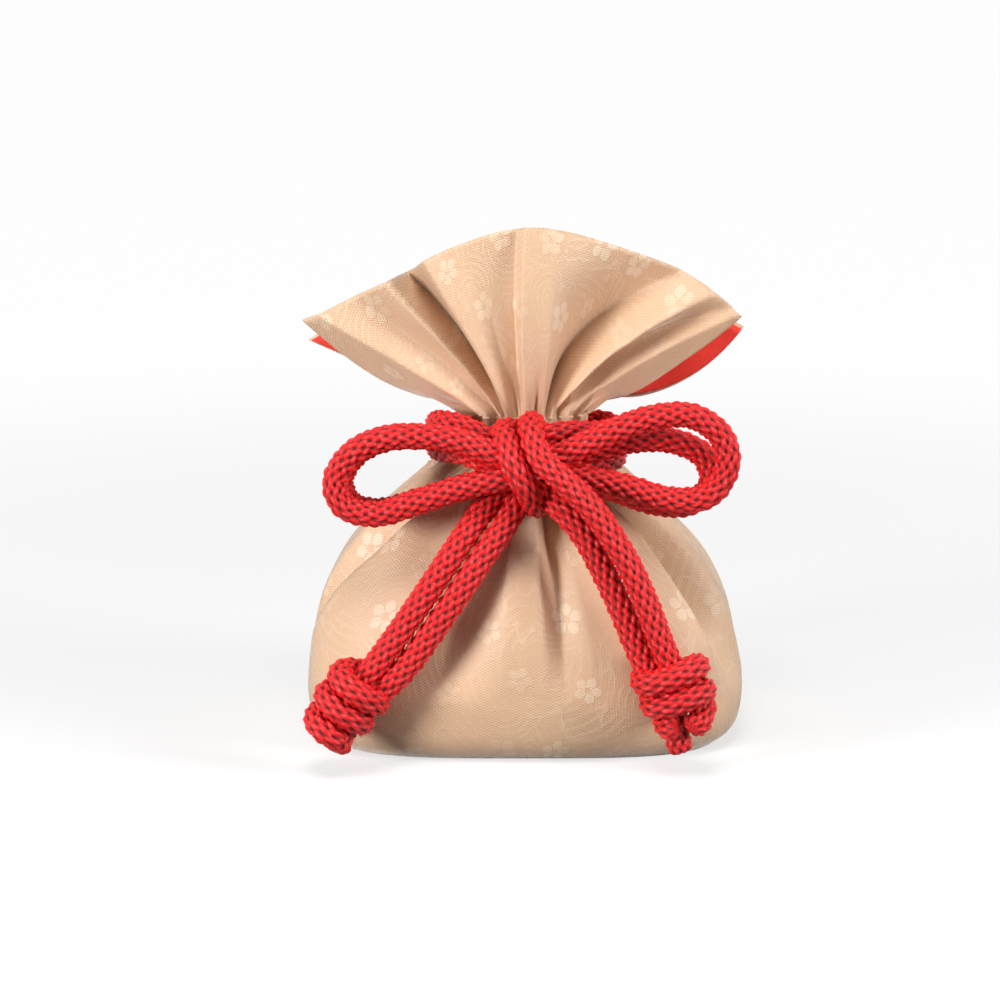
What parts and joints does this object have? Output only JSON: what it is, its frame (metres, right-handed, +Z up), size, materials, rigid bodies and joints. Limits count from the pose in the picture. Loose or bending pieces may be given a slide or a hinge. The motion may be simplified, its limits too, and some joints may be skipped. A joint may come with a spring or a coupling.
{
  "type": "kinchaku drawstring pouch",
  "caption": "Small lined brocade drawstring pouch with a ruffled top, drawn closed by two braided cords tied in a bow.",
  "frame": {"origin": "middle of the flat base, on the surface that the pouch stands on", "axes": "+Z up, -Y towards the side with the bow, +X to the right seen from that side"},
  "size_m": [0.086, 0.0752, 0.1007],
  "materials": {
    "outer_bag": "cream brocade with a tone-on-tone woven pattern",
    "lining_bag": "plain vermilion lining cloth",
    "drawcord": "round braided crimson cord"
  },
  "bodies": {
    "root": {"outer_bag": "outer_bag", "lining_bag": "lining_bag", "left_drawcord": "drawcord", "right_drawcord": "drawcord"}
  },
  "joints": []
}
